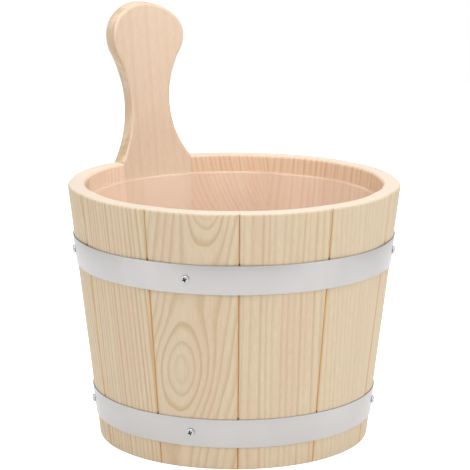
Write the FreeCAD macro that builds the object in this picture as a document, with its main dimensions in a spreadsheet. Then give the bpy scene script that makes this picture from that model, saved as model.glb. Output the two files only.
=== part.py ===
"""A piggin: a small coopered pine bucket with a long stave for a handle, two screwed hoops and a clear liner.

Millimetres. The origin is where the bucket's axis meets the floor, +Z is up and the handle stave is at +Y.
"""

import FreeCAD, Part
import math
import os

import Sketcher

SIZES = {
    # tub
    "stave_count": 11,
    "body_height": 186,
    "rim_radius": 120,
    "foot_radius": 98,
    "stave_wall": 12.5,
    # every stave is moulded to one radius, the foot's and this much more
    "mould_extra": 4,
    "seam_ease": 0.9,
    "rim_bevel": 1.6,
    # bottom boards, and the groove (croze) in the staves that holds them
    "croze_height": 14,
    "croze_depth": 4,
    "bottom_thickness": 10,
    "bottom_gap": 0.15,
    "middle_board_width": 64,
    "tongue_length": 4,
    "tongue_thickness": 3.4,
    "tongue_gap": 0.1,
    "tongue_end_gap": 0.5,
    # handle above the rim: insets from the stave's sides, drops from its top, rises from the rim
    "handle_rise": 117.5,
    "head_inset": 2.6,
    "head_drop": 24.5,
    "shoulder_radius": 20.5,
    "cheek_radius": 24,
    "waist_inset": 16.5,
    "waist_rise": 42,
    "flare_inset": 2.2,
    "handle_bevel": 2,
    # hoops, strips lapped over themselves at the handle stave
    "strip_width": 21,
    "strip_thickness": 0.7,
    "strip_gap": 0.1,
    "lower_hoop_height": 16.8,
    "upper_hoop_height": 128.8,
    "lap_length": 34,
    "lap_ramp": 8,
    # screws, 2.9 mm with pan heads, which cut their own way into the wood
    "thread_radius": 1.45,
    "thread_length": 9.5,
    "hole_gap": 0.05,
    "screw_head_radius": 2.8,
    "screw_head_height": 1.8,
    "screw_head_gap": 0.05,
    # from the stave's middle, the same way round on every screwed stave
    "screw_aside": 4.2,
    # liner
    "liner_drop": 12.5,
    "liner_wall": 1.2,
    "liner_gap": 1.4,
    "liner_seat": 0.3,
    # how far a cutting outline runs past what it cuts
    "overrun": 10,
}
# each hoop is screwed to the handle stave and to these staves, counted both ways from it
SCREWED_STEPS = (2, 4)
# how much of the strip's thickness the lap's ramp takes off
RAMP_SHARE = 0.95
TOUCH = 1e-4

doc = FreeCAD.newDocument("Piggin")
sheet = doc.addObject("Spreadsheet::Sheet", "size")
for row, (alias, number) in enumerate(SIZES.items(), start=1):
    sheet.set(f"A{row}", alias)
    sheet.set(f"B{row}", str(number))
    sheet.setAlias(f"B{row}", alias)
doc.recompute()

# formulas that several pieces share
LEAN = "((size.rim_radius - size.foot_radius) / size.body_height)"
TILT = f"atan({LEAN})"
PITCH = "(360 deg / size.stave_count)"
HALF_PITCH = "(180 deg / size.stave_count)"
BOTTOM_TOP = "(size.croze_height + size.bottom_thickness)"
HALF_BOARD = "(size.middle_board_width / 2)"
MOULDED = "(size.foot_radius + size.mould_extra)"
HANDLE_TOP = "(size.body_height + size.handle_rise)"
HANDLE_WIDEST = f"({HANDLE_TOP} - size.head_drop)"
HANDLE_WAIST = "(size.body_height + size.waist_rise)"
HALF_STAVE = f"(size.rim_radius * sin({HALF_PITCH}))"
HALF_HEAD = f"({HALF_STAVE} - size.head_inset)"
HALF_WAIST = f"({HALF_STAVE} - size.waist_inset)"
FLARE_END = f"({HALF_STAVE} - size.flare_inset)"
FLARE_SPREAD = f"({FLARE_END} - {HALF_WAIST})"
FLARE_RADIUS = f"(({FLARE_SPREAD} ^ 2 + size.waist_rise ^ 2) / (2 * {FLARE_SPREAD}))"


def outer_at(height):
    """The staves' outer radius at a height."""
    return f"(size.foot_radius + {LEAN} * ({height}))"


def inner_at(height):
    """The staves' inner radius at a height."""
    return f"({outer_at(height)} - size.stave_wall)"


def corner_at(height):
    """The radius at which a stave's moulded outside meets its seams, a little inside the round."""
    turned = f"(cos({HALF_PITCH}) * cos({TILT}))"
    depth = f"({MOULDED} - size.foot_radius * cos({TILT}) - ({height}) * sin({TILT}))"
    spread = f"({turned} ^ 2 + sin({HALF_PITCH}) ^ 2)"
    root = f"sqrt({turned} ^ 2 * {depth} ^ 2 - {spread} * ({depth} ^ 2 - {MOULDED} ^ 2))"
    return f"(({root} - {turned} * {depth}) / {spread})"


CROZE_RADIUS = f"({inner_at('size.croze_height')} + size.croze_depth)"


def value(formula):
    """The number that a formula comes to."""
    result = sheet.evalExpression(formula)
    return float(getattr(result, "Value", result))


# bodies, planes and sketches


def new_body(label):
    """An empty body with its name."""
    body = doc.addObject("PartDesign::Body", label)
    body.Label = label
    return body


def plane_of(body, role):
    """One of a body's own origin planes."""
    return next(item for item in body.Origin.OriginFeatures if item.Role == role)


def new_sketch(body, name, role):
    """A sketch on one of the body's origin planes."""
    sketch = body.newObject("Sketcher::SketchObject", name)
    sketch.AttachmentSupport = [(plane_of(body, role), "")]
    sketch.MapMode = "FlatFace"
    return sketch


def lean_out(sketch):
    """Tilt a sketch's plane with the slanting wall."""
    across = FreeCAD.Vector(1, 0, 0)
    sketch.AttachmentOffset = FreeCAD.Placement(FreeCAD.Vector(), FreeCAD.Rotation(across, -value(TILT)))
    sketch.setExpression("AttachmentOffset.Rotation.Angle", f"-{TILT}")


def square_to_slant(body, name, height):
    """A sketch whose plane touches the wall's slanted outside at a height, at +Y."""
    sketch = new_sketch(body, name, "XZ_Plane")
    lean_out(sketch)
    sketch.setExpression("AttachmentOffset.Base.y", height)
    sketch.setExpression("AttachmentOffset.Base.z", f"-{outer_at(height)}")
    return sketch


def across_slant(body, name, height):
    """A sketch square to the slanting wall's length, its origin on the wall's outside at a height, at +Y."""
    sketch = new_sketch(body, name, "XY_Plane")
    lean_out(sketch)
    sketch.setExpression("AttachmentOffset.Base.y", outer_at(height))
    sketch.setExpression("AttachmentOffset.Base.z", height)
    return sketch


def tie(sketch, kind, item, point, formula):
    """Hold one coordinate of a point to a formula."""
    if formula == "0":
        axis = -2 if kind == "DistanceX" else -1
        sketch.addConstraint(Sketcher.Constraint("PointOnObject", item, point, axis))
        return
    index = sketch.addConstraint(Sketcher.Constraint(kind, -1, 1, item, point, value(formula)))
    sketch.setExpression(f"Constraints[{index}]", formula)


def tie_radius(sketch, item, formula):
    """Hold a circle's or an arc's radius to a formula."""
    index = sketch.addConstraint(Sketcher.Constraint("Radius", item, value(formula)))
    sketch.setExpression(f"Constraints[{index}]", formula)


def draw_outline(sketch, corners):
    """A closed outline of straight edges through corners, each a pair of formulas."""
    first = sketch.GeometryCount
    spots = [FreeCAD.Vector(value(x), value(y), 0) for x, y in corners]
    for start, end in zip(spots, spots[1:] + spots[:1]):
        sketch.addGeometry(Part.LineSegment(start, end), False)
    last = sketch.GeometryCount - 1
    for item, (x, y) in enumerate(corners, start=first):
        before = last if item == first else item - 1
        sketch.addConstraint(Sketcher.Constraint("Coincident", before, 2, item, 1))
        tie(sketch, "DistanceX", item, 1, x)
        tie(sketch, "DistanceY", item, 1, y)


def draw_box(sketch, low, high):
    """A rectangle between two corners, each a pair of formulas."""
    (left, bottom), (right, top) = low, high
    draw_outline(sketch, [(left, bottom), (right, bottom), (right, top), (left, top)])


def draw_circle(sketch, x, y, radius):
    """A circle from formulas."""
    centre = FreeCAD.Vector(value(x), value(y), 0)
    item = sketch.addGeometry(Part.Circle(centre, FreeCAD.Vector(0, 0, 1), value(radius)), False)
    tie(sketch, "DistanceX", item, 3, x)
    tie(sketch, "DistanceY", item, 3, y)
    tie_radius(sketch, item, radius)


def draw_arc(sketch, centre, radius, start, end):
    """An arc from start to end, anticlockwise, both angles in radians."""
    circle = Part.Circle(FreeCAD.Vector(*centre, 0), FreeCAD.Vector(0, 0, 1), radius)
    return sketch.addGeometry(Part.ArcOfCircle(circle, start, end), False)


# features


def turn(body, kind, name, sketch, angle):
    """Turn a sketch about its own upright axis, evenly to both sides of its plane."""
    feature = body.newObject(kind, name)
    feature.Profile = sketch
    feature.ReferenceAxis = (sketch, ["V_Axis"])
    feature.Midplane = True
    feature.setExpression("Angle", angle)
    doc.recompute()
    return feature


def revolve(body, name, sketch, angle="360"):
    """A solid of revolution."""
    return turn(body, "PartDesign::Revolution", name, sketch, angle)


def cut_round(body, name, sketch, angle="360"):
    """Cut a sketch's outlines away all round the upright axis."""
    before = body.Shape.Volume
    feature = turn(body, "PartDesign::Groove", name, sketch, angle)
    expect_less(body, name, before)
    return feature


def cut_through(body, name, sketch, length):
    """Cut a sketch's outline away, evenly to both sides of its plane."""
    before = body.Shape.Volume
    feature = body.newObject("PartDesign::Pocket", name)
    feature.Profile = sketch
    feature.Midplane = True
    feature.setExpression("Length", length)
    doc.recompute()
    expect_less(body, name, before)
    return feature


def cut_along(body, name, sketch, length, direction):
    """Cut a sketch's outline away along a slanting direction, a list of three formulas."""
    before = body.Shape.Volume
    feature = body.newObject("PartDesign::Pocket", name)
    feature.Profile = sketch
    feature.Midplane = True
    feature.UseCustomVector = True
    feature.AlongSketchNormal = True
    for letter, formula in zip("xyz", direction):
        feature.setExpression(f"Direction.{letter}", formula)
    feature.setExpression("Length", length)
    doc.recompute()
    expect_less(body, name, before)
    return feature


def repeat(body, kind, name, original, reference, place, **settings):
    """Repeat a feature round an axis or across a plane of its body."""
    feature = body.newObject(kind, name)
    feature.Originals = [original]
    setattr(feature, reference, (place, [""]))
    for setting, formula in settings.items():
        feature.setExpression(setting, formula)
    body.Tip = feature
    doc.recompute()
    return feature


def expect_less(body, name, before):
    """A cut that takes nothing away is a mistake."""
    if not body.Shape.Volume < before - TOUCH:
        raise RuntimeError(f"{body.Label}: {name} cuts nothing")


def dress(body, kind, name, size_name, formula, wanted):
    """A fillet or chamfer on the edges that wanted() picks."""
    base = body.Tip
    names = [f"Edge{i}" for i, edge in enumerate(base.Shape.Edges, start=1) if wanted(edge)]
    if not names:
        raise RuntimeError(f"{body.Label}: {name} has no edges")
    feature = body.newObject(kind, name)
    feature.Base = (base, names)
    feature.Refine = False
    feature.setExpression(size_name, formula)
    doc.recompute()
    return feature


# picking edges


def spots_on(edge):
    """Three points of an edge: its ends and its middle."""
    low, high = edge.ParameterRange
    return [edge.valueAt(place) for place in (low, (low + high) / 2, high)]


def depth_in_tub(spot):
    """How far inside the tub's round outside a point is, measured level."""
    return value(outer_at("0")) + value(LEAN) * spot.z - math.hypot(spot.x, spot.y)


def depth_in_board(spot):
    """How far inside the moulded outside of a stave at +Y a point is, measured square to it."""
    tilt, radius = math.radians(value(TILT)), value(MOULDED)
    out = (spot.y - value("size.foot_radius")) * math.cos(tilt) - spot.z * math.sin(tilt)
    return radius - math.hypot(spot.x, out + radius)


def sawn_edge(edge):
    """Picks the edges that the saw left round the handle, on its inner and its outer face."""
    spots = spots_on(edge)
    depths = [depth_in_board(spot) for spot in spots]
    faces = (0, value(f"size.stave_wall * cos({TILT})"))
    on_face = any(all(abs(depth - face) < TOUCH for depth in depths) for face in faces)
    above_rim = spots[1].z > value("size.body_height") + TOUCH
    turned = abs(math.atan2(spots[1].x, spots[1].y))
    off_seam = turned < math.radians(value(HALF_PITCH)) - TOUCH
    return on_face and above_rim and off_seam


# staves


def mould(body, middle, radius, layers, length):
    """A leaning tube between two layers, given as distances outside a radius."""
    section = across_slant(body, f"{body.Label}_moulding", middle)
    for layer in layers:
        draw_circle(section, "0", f"-{radius}", f"{radius} + {layer}")
    tube = body.newObject("PartDesign::Pad", f"{body.Label}_tube")
    tube.Profile = section
    tube.Midplane = True
    tube.setExpression("Length", length)
    doc.recompute()


def saw_out(body, half_turn, foot, top):
    """Leave only what lies within a turn to both sides of +Y, and between two heights."""
    reach = f"({outer_at(top)} + size.overrun)"
    far = f"(2 * {reach})"
    aside = f"{far} * tan({half_turn})"
    sides = new_sketch(body, f"{body.Label}_sides", "XY_Plane")
    draw_outline(
        sides,
        [
            ("0", "0"),
            (aside, far),
            (far, far),
            (far, f"-{far}"),
            (f"-{far}", f"-{far}"),
            (f"-{far}", far),
            (f"-{aside}", far),
        ],
    )
    cut_through(body, f"{body.Label}_side_cuts", sides, f"2 * ({top} + {far})")
    ends = new_sketch(body, f"{body.Label}_ends", "YZ_Plane")
    draw_box(ends, ("0", f"{foot} - 2 * size.overrun"), (reach, foot))
    draw_box(ends, ("0", top), (reach, f"{top} + 2 * size.overrun"))
    cut_through(body, f"{body.Label}_end_cuts", ends, far)


def stave_blank(body, top):
    """A moulded board, sawn to its seams and its ends, with the croze across its inside."""
    length = f"{top} / cos({TILT}) + 2 * size.overrun"
    mould(body, f"({top} / 2)", MOULDED, ("0", f"-size.stave_wall * cos({TILT})"), length)
    saw_out(body, HALF_PITCH, "0", top)
    croze = new_sketch(body, f"{body.Label}_croze_section", "YZ_Plane")
    foot, head = "size.croze_height - size.bottom_gap", f"{BOTTOM_TOP} + size.bottom_gap"
    draw_box(croze, (f"{inner_at('0')} - size.overrun", foot), (CROZE_RADIUS, head))
    cut_round(body, f"{body.Label}_croze", croze, f"2 * {PITCH}")


def bevel_rim(body):
    """Turn both corners off the rim."""
    sketch = new_sketch(body, f"{body.Label}_rim_section", "YZ_Plane")
    top, past = "size.body_height", "(size.body_height + size.overrun)"
    for edge, way in ((outer_at(top), "1"), (inner_at(top), "-1")):
        draw_outline(
            sketch,
            [
                (f"{edge} - {way} * (size.rim_bevel + size.overrun)", past),
                (f"{edge} + {way} * size.overrun", f"{top} - size.rim_bevel - size.overrun"),
                (f"{edge} + {way} * size.overrun", past),
            ],
        )
    cut_round(body, f"{body.Label}_rim", sketch, f"2 * {PITCH}")


def ease_seam(body, top):
    """Plane the sharp outer corner off one long edge of a stave, so that each seam is a shallow V."""
    sketch = new_sketch(body, f"{body.Label}_ease_place", "XY_Plane")
    reach = "(size.seam_ease + size.overrun)"

    def corner(outwards, sideways):
        x = f"({corner_at('0')} + {outwards}) * sin({HALF_PITCH}) + {sideways} * cos({HALF_PITCH})"
        y = f"({corner_at('0')} + {outwards}) * cos({HALF_PITCH}) - {sideways} * sin({HALF_PITCH})"
        return x, y

    spots = [(f"-{reach}", "size.overrun"), ("size.overrun", f"-{reach}"), ("size.overrun", "size.overrun")]
    draw_outline(sketch, [corner(outwards, sideways) for outwards, sideways in spots])
    lean = f"(({corner_at('size.body_height')} - {corner_at('0')}) / size.body_height)"
    along = [f"{lean} * sin({HALF_PITCH})", f"{lean} * cos({HALF_PITCH})", "1"]
    return cut_along(body, f"{body.Label}_ease", sketch, f"2 * ({top} + size.overrun)", along)


def mirror_cuts(body, cuts):
    """Make cuts on one side of a stave on its other side too."""
    before = body.Shape.Volume
    middle = plane_of(body, "YZ_Plane")
    name = f"{body.Label}_other_side"
    mirrored = repeat(body, "PartDesign::Mirrored", name, cuts[0], "MirrorPlane", middle)
    mirrored.Originals = cuts
    doc.recompute()
    expect_less(body, mirrored.Label, before)


def strip_middle(hoop):
    """The height of a hoop's middle line."""
    return f"(size.{hoop}_height + size.strip_width * cos({TILT}) / 2)"


def bore_screw_hole(body, hoop):
    """A hole for a hoop's screw at +Y, square to the slant."""
    sketch = square_to_slant(body, f"{body.Label}_{hoop}_hole_place", strip_middle(hoop))
    draw_circle(sketch, "size.screw_aside", "0", "size.thread_radius + size.hole_gap")
    return cut_through(body, f"{body.Label}_{hoop}_hole", sketch, "2 * size.thread_length")


def make_stave(number):
    """A plain stave with a bevelled rim, turned to its place in the ring."""
    body = new_body(f"stave_{number}")
    stave_blank(body, "size.body_height")
    bevel_rim(body)
    mirror_cuts(body, [ease_seam(body, "size.body_height")])
    body.setExpression("Placement.Rotation.Angle", f"{number} * {PITCH}")
    return body


def draw_handle_side(sketch):
    """What is sawn off one side of the handle stave above the rim.

    Down from the top the saw line is five arcs that run into each other: the crown, the shoulder to the
    head's widest point, the cheek below it, the long hollow neck to the waist, and the flare that runs out
    on the rim.
    """
    far_side = f"({outer_at(HANDLE_TOP)} * sin({HALF_PITCH}) + size.overrun)"
    far_top = f"({HANDLE_TOP} + size.overrun)"
    shoulder, cheek = value("size.shoulder_radius"), value("size.cheek_radius")
    flare = value(FLARE_RADIUS)
    half_head, half_waist = value(HALF_HEAD), value(HALF_WAIST)
    widest, waist = value(HANDLE_WIDEST), value(HANDLE_WAIST)

    # the crown's centre is on the middle line, and the crown runs into the shoulder
    inset, drop = half_head - shoulder, value("size.head_drop")
    crown = (inset**2 + drop**2 - shoulder**2) / (2 * (drop - shoulder))
    crown_end = math.atan2(crown - drop, inset)
    # the neck is upright at the waist and runs into the cheek
    rise = widest - waist
    across = half_waist - half_head + cheek
    neck = (across**2 + rise**2 - cheek**2) / (2 * (cheek - across))
    cheek_end = math.atan2(-rise, neck + across)
    # the flare is upright at the waist too
    flare_middle = half_waist + flare
    flare_turn = math.acos((flare_middle - value(FLARE_END)) / flare)

    arcs = [
        draw_arc(sketch, (0, value(HANDLE_TOP) - crown), crown, crown_end, math.pi / 2),
        draw_arc(sketch, (half_head - shoulder, widest), shoulder, 0, crown_end),
        draw_arc(sketch, (half_head - cheek, widest), cheek, cheek_end, 0),
        draw_arc(sketch, (half_waist + neck, waist), neck, math.pi + cheek_end, math.pi),
        draw_arc(sketch, (flare_middle, waist), flare, math.pi, math.pi + flare_turn),
    ]
    crown_arc, shoulder_arc, cheek_arc, neck_arc, flare_arc = arcs
    run_out = waist - flare * math.sin(flare_turn)
    corners = [
        (value(FLARE_END), run_out),
        (value(far_side), run_out),
        (value(far_side), value(far_top)),
        (0, value(far_top)),
        (0, value(HANDLE_TOP)),
    ]
    spots = [FreeCAD.Vector(*corner, 0) for corner in corners]
    sides = [sketch.addGeometry(Part.LineSegment(start, end), False) for start, end in zip(spots, spots[1:])]
    joints = [
        ("Tangent", shoulder_arc, 2, crown_arc, 1),
        ("Tangent", cheek_arc, 2, shoulder_arc, 1),
        ("Tangent", neck_arc, 1, cheek_arc, 1),
        ("Tangent", flare_arc, 1, neck_arc, 2),
        ("Coincident", flare_arc, 2, sides[0], 1),
        ("Coincident", sides[0], 2, sides[1], 1),
        ("Coincident", sides[1], 2, sides[2], 1),
        ("Coincident", sides[2], 2, sides[3], 1),
        ("Coincident", sides[3], 2, crown_arc, 2),
        ("Horizontal", cheek_arc, 3, cheek_arc, 2),
        ("Horizontal", neck_arc, 3, neck_arc, 2),
        ("Horizontal", sides[0]),
        ("Vertical", sides[1]),
        ("Horizontal", sides[2]),
    ]
    for joint in joints:
        sketch.addConstraint(Sketcher.Constraint(*joint))
    tie_radius(sketch, shoulder_arc, "size.shoulder_radius")
    tie_radius(sketch, cheek_arc, "size.cheek_radius")
    tie_radius(sketch, flare_arc, FLARE_RADIUS)
    tie(sketch, "DistanceX", crown_arc, 3, "0")
    tie(sketch, "DistanceX", crown_arc, 2, "0")
    tie(sketch, "DistanceY", crown_arc, 2, HANDLE_TOP)
    tie(sketch, "DistanceX", cheek_arc, 2, HALF_HEAD)
    tie(sketch, "DistanceY", cheek_arc, 2, HANDLE_WIDEST)
    tie(sketch, "DistanceX", neck_arc, 2, HALF_WAIST)
    tie(sketch, "DistanceY", neck_arc, 2, HANDLE_WAIST)
    tie(sketch, "DistanceX", flare_arc, 2, FLARE_END)
    tie(sketch, "DistanceX", sides[1], 2, far_side)
    tie(sketch, "DistanceY", sides[1], 2, far_top)
    tie(sketch, "DistanceX", sides[2], 2, "0")


def make_handle_stave():
    """The stave that runs on upwards, sawn to the handle's outline and rounded off."""
    body = new_body("handle_stave")
    stave_blank(body, HANDLE_TOP)
    ease = ease_seam(body, HANDLE_TOP)
    sketch = new_sketch(body, "handle_side", "XZ_Plane")
    draw_handle_side(sketch)
    doc.recompute()
    sawn = cut_through(body, "handle_side_cut", sketch, f"2 * ({outer_at(HANDLE_TOP)} + size.overrun)")
    mirror_cuts(body, [ease, sawn])
    dress(body, "PartDesign::Chamfer", "handle_edges", "Size", "size.handle_bevel", sawn_edge)
    return body


# bottom


def joint_outline(reach, gap):
    """The line of the joint between two boards, from below upwards, bulging out by a tongue or its groove."""
    middle = "(size.croze_height + size.bottom_thickness / 2)"
    half = f"(size.tongue_thickness / 2 + {gap})"
    return [
        (HALF_BOARD, "size.croze_height - size.overrun"),
        (HALF_BOARD, f"{middle} - {half}"),
        (f"{HALF_BOARD} + {reach}", f"{middle} - {half}"),
        (f"{HALF_BOARD} + {reach}", f"{middle} + {half}"),
        (HALF_BOARD, f"{middle} + {half}"),
        (HALF_BOARD, f"{BOTTOM_TOP} + size.overrun"),
    ]


def bottom_disc(label):
    """The whole round bottom, before it is sawn."""
    body = new_body(label)
    section = new_sketch(body, f"{label}_section", "YZ_Plane")
    draw_box(section, ("0", "size.croze_height"), (f"{CROZE_RADIUS} - size.bottom_gap", BOTTOM_TOP))
    revolve(body, f"{label}_disc", section)
    return body


def saw_joint(body, side, past, line):
    """Cut off what lies between a joint's line and a far line, both mirrored for the left side."""
    waste = new_sketch(body, f"{body.Label}_waste", "XZ_Plane")
    corners = line + [(past, line[-1][1]), (past, line[0][1])]
    draw_outline(waste, [(f"{side} * ({x})", y) for x, y in corners])
    return cut_through(body, f"{body.Label}_saw_cut", waste, f"3 * {CROZE_RADIUS}")


def make_middle_board():
    """The middle board of the bottom, with a tongue along each side."""
    body = bottom_disc("bottom_board_middle")
    past = f"({CROZE_RADIUS} + size.overrun)"
    mirror_cuts(body, [saw_joint(body, 1, past, joint_outline("size.tongue_length", "0"))])
    return body


def make_side_board(label, side):
    """A side board of the bottom, grooved for the middle board's tongue."""
    body = bottom_disc(label)
    past = f"(-{CROZE_RADIUS} - size.overrun)"
    groove = "(size.tongue_length + size.tongue_end_gap)"
    saw_joint(body, side, past, joint_outline(groove, "size.tongue_gap"))
    return body


# hoops and screws


def make_stretch(label, hoop, layer, half_turn):
    """A stretch of a hoop at +Y, in the layer against the staves or in the one lapped over it."""
    body = new_body(label)
    foot, middle = f"size.{hoop}_height", strip_middle(hoop)
    near = f"(size.strip_gap + {layer} * size.strip_thickness)"
    radius = f"({outer_at(middle)} / cos({TILT}))"
    layers = (f"{near} + size.strip_thickness", near)
    mould(body, middle, radius, layers, "size.strip_width + 2 * size.overrun")
    saw_out(body, half_turn, foot, f"({foot} + size.strip_width * cos({TILT}))")
    return body


def make_lap(hoop):
    """The strip's end: it climbs over its start beside the handle stave and stops square beyond it."""
    half_turn = f"(size.lap_length / {outer_at(strip_middle(hoop))} * 90 / pi)"
    body = make_stretch(f"{hoop}_lap", hoop, 1, half_turn)

    def climbing_edge(edge):
        outside = value("size.strip_gap + 1.9 * size.strip_thickness")
        turn = math.radians(value(half_turn))
        spots = spots_on(edge)
        at_end = all(abs(math.atan2(spot.x, spot.y) - turn) < TOUCH for spot in spots)
        return at_end and all(-depth_in_tub(spot) > outside for spot in spots)

    depth = f"{RAMP_SHARE} * size.strip_thickness"
    ramp = dress(body, "PartDesign::Chamfer", f"{hoop}_ramp", "Size", depth, climbing_edge)
    ramp.ChamferType = "Two distances"
    ramp.FlipDirection = True
    ramp.setExpression("Size2", "size.lap_ramp")
    doc.recompute()
    bore_screw_hole(body, hoop)
    return body


def make_hoop(hoop):
    """A flat strip drawn round the staves, one stretch on each, lapped over itself at the handle stave."""
    plain = make_stretch(f"{hoop}_plain_stretch", hoop, 0, HALF_PITCH)
    bored = make_stretch(f"{hoop}_bored_stretch", hoop, 0, HALF_PITCH)
    bore_screw_hole(bored, hoop)
    stretches = [make_lap(hoop)]
    for number in range(SIZES["stave_count"]):
        screwed = min(number, SIZES["stave_count"] - number) in (0, *SCREWED_STEPS)
        link = doc.addObject("App::Link", f"{hoop}_stretch_{number}")
        link.LinkedObject = bored if screwed else plain
        link.setExpression("Placement.Rotation.Angle", f"{number} * {PITCH}")
        stretches.append(link)
    ring = doc.addObject("Part::MultiFuse", hoop)
    ring.Label = hoop
    ring.Shapes = stretches
    ring.Refine = True
    doc.recompute()
    return ring


def make_screw():
    """One upright screw, its head's underside at height 0."""
    body = new_body("screw")
    sketch = new_sketch(body, "screw_section", "XZ_Plane")
    draw_outline(
        sketch,
        [
            ("0", "-size.thread_length"),
            ("size.thread_radius", "-size.thread_length"),
            ("size.thread_radius", "0"),
            ("size.screw_head_radius", "0"),
            ("size.screw_head_radius", "size.screw_head_height"),
            ("0", "size.screw_head_height"),
        ],
    )
    revolve(body, "screw_blank", sketch)
    return body


def make_screws(hoop, screw):
    """A hoop's screws: the one through the lap at the handle stave, and those to both sides of it."""
    places = []
    for step in [0] + [way * step for step in SCREWED_STEPS for way in (1, -1)]:
        link = doc.addObject("App::Link", f"{hoop}_screw_{len(places) + 1}")
        link.LinkedObject = screw
        layers = 1 if step else 2
        height = strip_middle(hoop)
        stack = f"(size.strip_gap + {layers} * size.strip_thickness + size.screw_head_gap)"
        out = f"({outer_at(height)} + {stack} * cos({TILT}))"
        turn = f"({step} * {PITCH})"
        x = f"(cos({turn}) * size.screw_aside - sin({turn}) * {out})"
        y = f"(sin({turn}) * size.screw_aside + cos({turn}) * {out})"
        spot = f"vector({x}; {y}; {height} - {stack} * sin({TILT}))"
        stand = f"rotation(90 deg + {turn}; 90 deg + {TILT}; 0 deg)"
        link.setExpression("Placement", f"placement({spot}; {stand})")
        places.append(link)
    group = doc.addObject("Part::Compound", f"{hoop}_screws")
    group.Label = f"{hoop}_screws"
    group.Links = places
    doc.recompute()
    return group


# liner


def make_liner():
    """A thin clear plastic bucket, standing loose on the bottom boards."""
    body = new_body("liner")
    base = f"({BOTTOM_TOP} + size.liner_seat)"
    top = "(size.body_height - size.liner_drop)"
    floor = f"({base} + size.liner_wall)"

    def outside(height):
        return f"({inner_at(height)} - size.liner_gap)"

    sketch = new_sketch(body, "liner_section", "YZ_Plane")
    draw_outline(
        sketch,
        [
            ("0", base),
            (outside(base), base),
            (outside(top), top),
            (f"{outside(top)} - size.liner_wall", top),
            (f"{outside(floor)} - size.liner_wall", floor),
            ("0", floor),
        ],
    )
    revolve(body, "liner_shell", sketch)
    return body


def check_and_write(pieces):
    """Write each piece's STEP file, once the whole document is sound."""
    doc.recompute()
    for item in doc.Objects:
        if {"Invalid", "Error"} & set(item.State):
            raise RuntimeError(f"{item.Label}: {item.getStatusString()}")
    for piece in pieces:
        if piece.Shape.isNull() or not piece.Shape.isValid():
            raise RuntimeError(f"{piece.Label}: its shape is broken")
    os.makedirs("parts", exist_ok=True)
    for piece in pieces:
        piece.Shape.exportStep(f"parts/{piece.Label}.step")
        print(f"{piece.Label}: {len(piece.Shape.Solids)} solids, {piece.Shape.Volume / 1000:.2f} cm3")


def main():
    """Build every piece."""
    pieces = [make_handle_stave()]
    pieces += [make_stave(number) for number in range(1, SIZES["stave_count"])]
    pieces += [
        make_side_board("bottom_board_left", -1),
        make_middle_board(),
        make_side_board("bottom_board_right", 1),
    ]
    screw = make_screw()
    for hoop in ("lower_hoop", "upper_hoop"):
        pieces.append(make_hoop(hoop))
        pieces.append(make_screws(hoop, screw))
    pieces.append(make_liner())
    check_and_write(pieces)


main()
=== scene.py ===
"""The looks of the pine piggin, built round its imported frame."""

import math

import bmesh
import bpy
from bpy.props import FloatProperty, FloatVectorProperty, IntProperty, PointerProperty
from mathutils import Matrix, Vector


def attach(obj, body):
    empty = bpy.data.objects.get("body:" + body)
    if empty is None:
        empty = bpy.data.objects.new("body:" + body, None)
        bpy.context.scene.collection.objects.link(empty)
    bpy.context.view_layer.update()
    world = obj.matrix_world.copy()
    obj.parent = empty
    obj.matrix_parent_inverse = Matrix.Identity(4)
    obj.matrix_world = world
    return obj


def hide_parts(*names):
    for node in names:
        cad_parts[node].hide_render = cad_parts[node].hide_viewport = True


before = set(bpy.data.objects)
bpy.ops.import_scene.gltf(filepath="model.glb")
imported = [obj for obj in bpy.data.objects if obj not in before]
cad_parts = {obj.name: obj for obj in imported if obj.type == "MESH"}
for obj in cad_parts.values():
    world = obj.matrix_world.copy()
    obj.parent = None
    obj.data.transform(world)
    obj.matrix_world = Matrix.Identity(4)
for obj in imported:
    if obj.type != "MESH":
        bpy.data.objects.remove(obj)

bl_info = {
    "name": "Pine piggin",
    "version": (1, 0, 0),
    "blender": (4, 5, 0),
    "location": "View3D > Sidebar > Piggin",
    "description": "Builds the staves, bottom, hoops, screws, liner and studio of a coopered pine piggin",
    "category": "Add Mesh",
}

MM = 0.001

# the staves that the hoops are screwed to and the palest stave, counted from the handle's;
# that stave's paler tone is partly its own and partly painted light
SCREWED = (0, 2, 4, 7, 9)
PALE_AND_LIT_STAVE = 1

# into how many steps the shapes are cut
EDGE_STEPS = 7
RISE_STEPS = 14
STAVE_STEPS = 26
BOARD_STEPS = 64
BOARD_COLUMNS = 4
HOOP_STEPS = 264
LAP_STEPS = 16
DOME_STEPS = 8
SCREW_STEPS = 40
CORNER_STEPS = 6
LINER_STEPS = 192

# how much of its thickness a lap keeps at its end
LAP_END_SHARE = 0.1

# how much of a screw head's height is its upright rim
HEAD_RIM_SHARE = 0.35

# how far the cutter's arms reach at its foot and its top, and how much of that their width follows
CROSS_FOOT_SHARE = 0.45
CROSS_TOP_SHARE = 1.25
ARM_TAPER_SHARE = 0.4

# how far round the tub the camera stands from -Y
CAMERA_TURN = math.radians(-34.5)

# the corners of the liner's bead in millimetres, out from the wall and up from the bead's foot or top
BEAD_FOOT = ((0, 0), (0.25, 0.2))
BEAD_TOP = ((0.2, -0.3), (-0.1, 0))
BEAD_INSIDE = ((0.3, 0), (0, -0.4))


# settings


def length(name, description, default):
    """A length in metres, given in millimetres."""
    return FloatProperty(
        name=name,
        description=description,
        default=default * MM,
        min=0,
        precision=5,
        subtype="DISTANCE",
        unit="LENGTH",
    )


def amount(name, description, default):
    """A number that isn't negative, such as a lamp's power."""
    return FloatProperty(name=name, description=description, default=default, min=0)


def painted_light_gain(name, description, default):
    """How much paler painted light makes a part of the wood, in red, green and blue."""
    return FloatVectorProperty(name=name, description=description, size=3, default=default, min=0)


def colour(name, description, default):
    """A colour, given as a screen shows it, from 0 to 255."""
    return FloatVectorProperty(
        name=name,
        description=description,
        subtype="COLOR",
        size=3,
        min=0,
        max=1,
        default=[linear(part / 255) for part in default],
    )


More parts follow.
